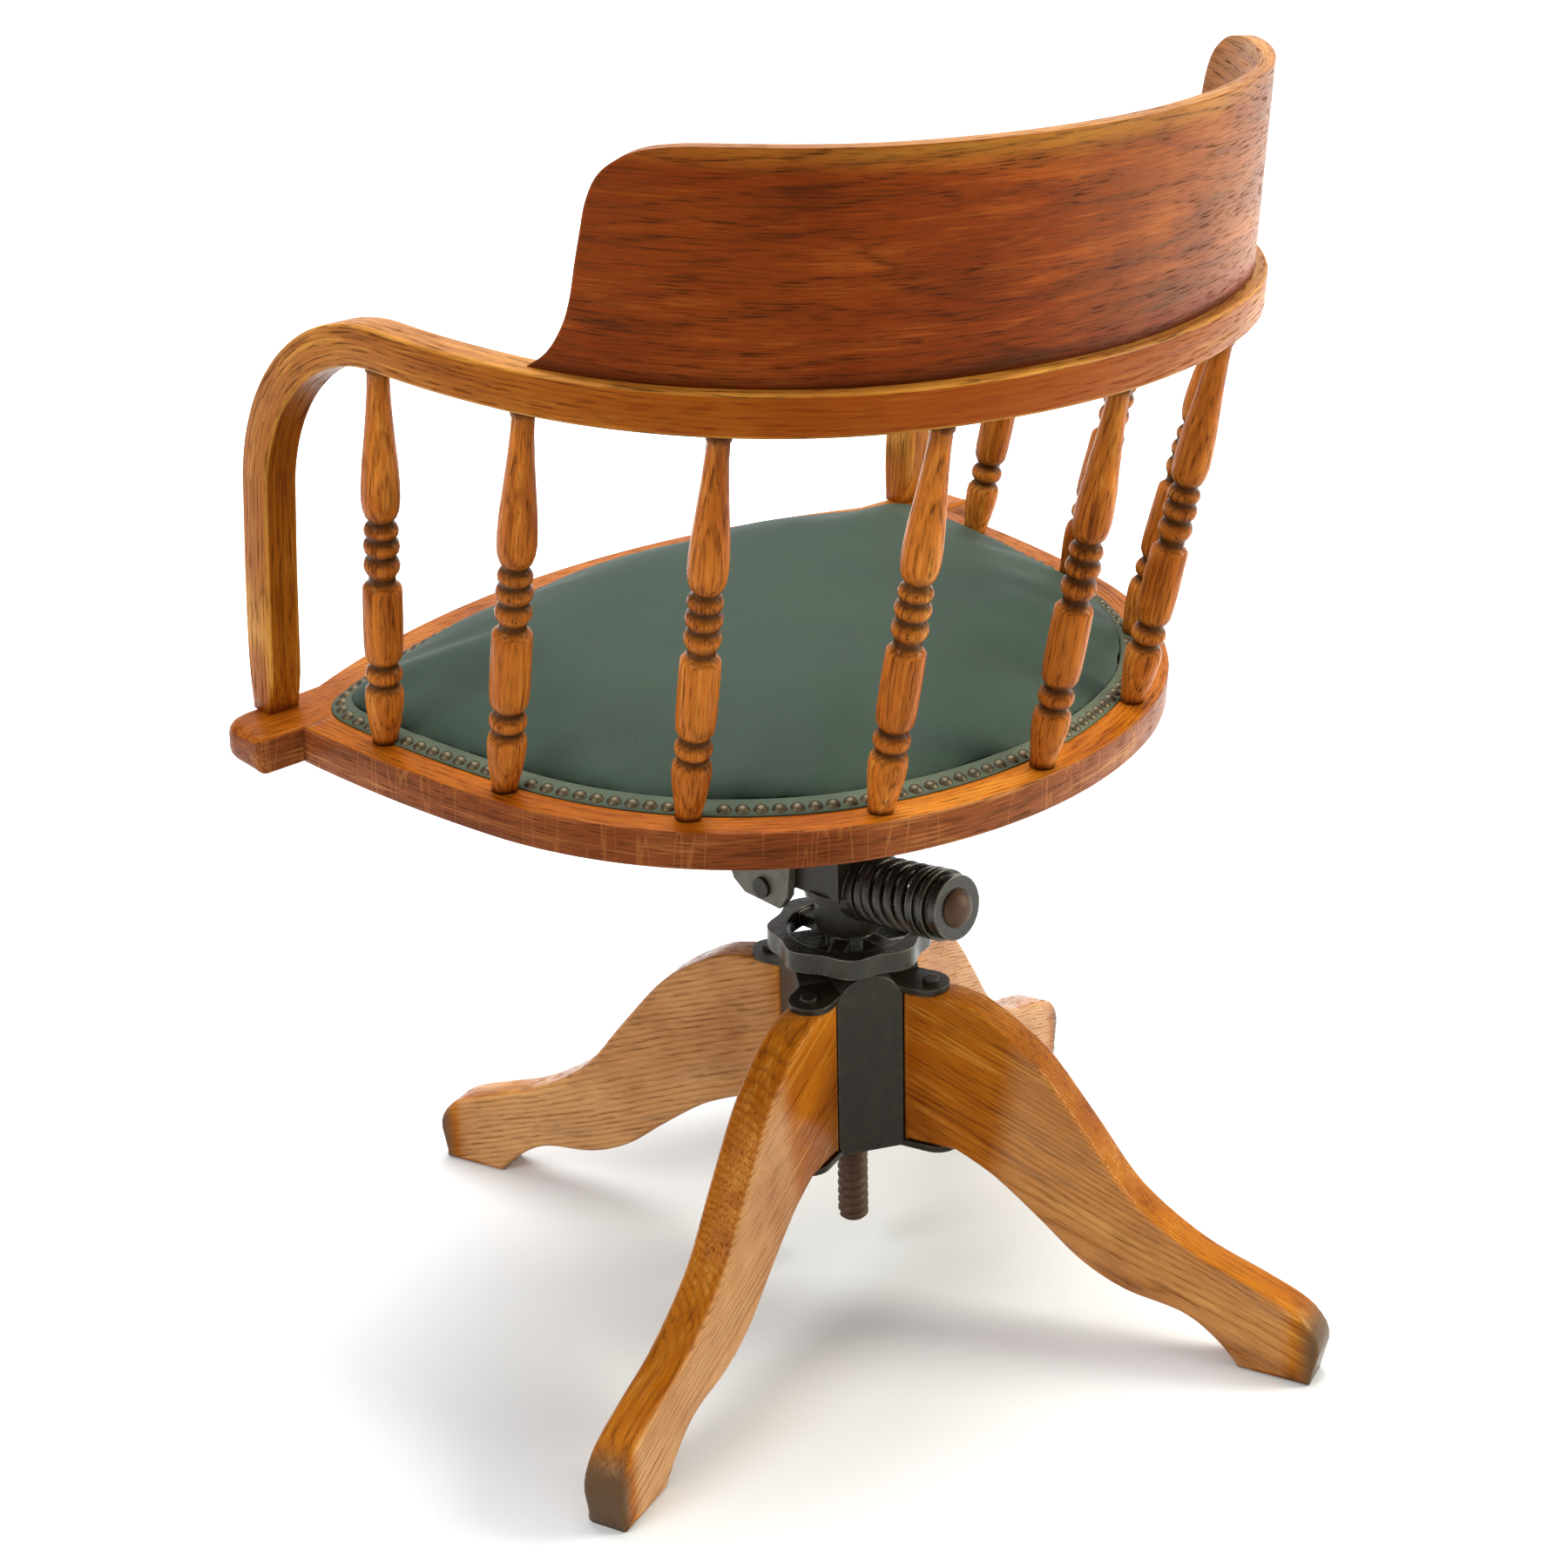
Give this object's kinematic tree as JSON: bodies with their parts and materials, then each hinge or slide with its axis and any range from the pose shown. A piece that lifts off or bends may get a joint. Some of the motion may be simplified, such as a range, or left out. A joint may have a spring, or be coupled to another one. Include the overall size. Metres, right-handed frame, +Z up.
{
  "type": "bankers swivel chair",
  "caption": "Bankers swivel chair with bent arm bow, turned spindles, green leather seat, tilting seat irons and a height screw with hand wheel on splayed legs.",
  "frame": {"origin": "on the floor, under the axis of the height screw", "axes": "+Z up along the height screw, -Y towards the front of the seat, +X to the sitter's left"},
  "size_m": [0.6004, 0.6004, 0.7445],
  "materials": {
    "black_iron": "worn black paint",
    "leg_oak": "satin",
    "screw_steel": "worn",
    "rusty_steel": "rust brown",
    "spring_steel": "dark worn",
    "grey_iron": "worn grey",
    "frame_oak": "satin",
    "green_leather": "semi-gloss",
    "bow_oak": "satin",
    "panel_oak": "satin",
    "spindle_oak": "satin"
  },
  "bodies": {
    "base": {"hub_casting": "black_iron", "leg_left": "leg_oak", "leg_back": "leg_oak", "leg_right": "leg_oak", "leg_front": "leg_oak", "leg_screws": "screw_steel"},
    "turning": {"thrust_washer": "screw_steel"},
    "wheel": {"hand_wheel": "black_iron"},
    "lift": {"screw_spindle": "rusty_steel", "tilt_casting": "black_iron", "pivot_pin": "rusty_steel", "tension_spring": "spring_steel"},
    "rod": {"tension_rod": "rusty_steel", "rod_cap": "rusty_steel"},
    "knob": {"tension_knob": "black_iron"},
    "seat": {"seat_iron_left": "grey_iron", "seat_iron_right": "grey_iron", "cross_pin": "rusty_steel", "iron_screws": "screw_steel", "seat_ring": "frame_oak", "front_rail": "frame_oak", "seat_board": "frame_oak", "seat_pad": "green_leather", "arm_bow": "bow_oak", "back_panel": "panel_oak", "spindle_1": "spindle_oak", "spindle_2": "spindle_oak", "spindle_3": "spindle_oak", "spindle_4": "spindle_oak", "spindle_5": "spindle_oak", "spindle_6": "spindle_oak", "spindle_7": "spindle_oak", "spindle_8": "spindle_oak", "spindle_9": "spindle_oak"}
  },
  "joints": [
    {"name": "swivel", "type": "hinge", "parent": "base", "child": "turning", "pos_m": [0, 0, 0.22], "axis": [0, 0, 1], "continuous": true},
    {"name": "wheel_turn", "type": "hinge", "parent": "turning", "child": "wheel", "pos_m": [0, 0, 0.2285], "axis": [0, 0, 1], "range_deg": [-5401, 0]},
    {"name": "height", "type": "slide", "parent": "turning", "child": "lift", "axis": [0, 0, 1], "range_m": [0, 0.09]},
    {"name": "tilt", "type": "hinge", "parent": "lift", "child": "seat", "pos_m": [0, -0.059, 0.331], "axis": [-1, 0, 0], "range_deg": [0, 12], "stiffness_Nm_per_rad": 60, "springref_deg": -17.19},
    {"name": "rod_slide", "type": "slide", "parent": "lift", "child": "rod", "axis": [0, -0.9925, -0.1222], "range_m": [0, 0.0159], "deforming": ["tension_spring"]},
    {"name": "knob_turn", "type": "hinge", "parent": "rod", "child": "knob", "pos_m": [0, 0.088, 0.274], "axis": [0, 0.9925, 0.1222], "range_deg": [-1080, 1080]}
  ],
  "couplings": [
    {"joint": "wheel_turn", "follows": "height", "rad_per_m": -1047.2},
    {"joint": "rod_slide", "follows": "tilt", "m_per_rad": 0.07482}
  ]
}
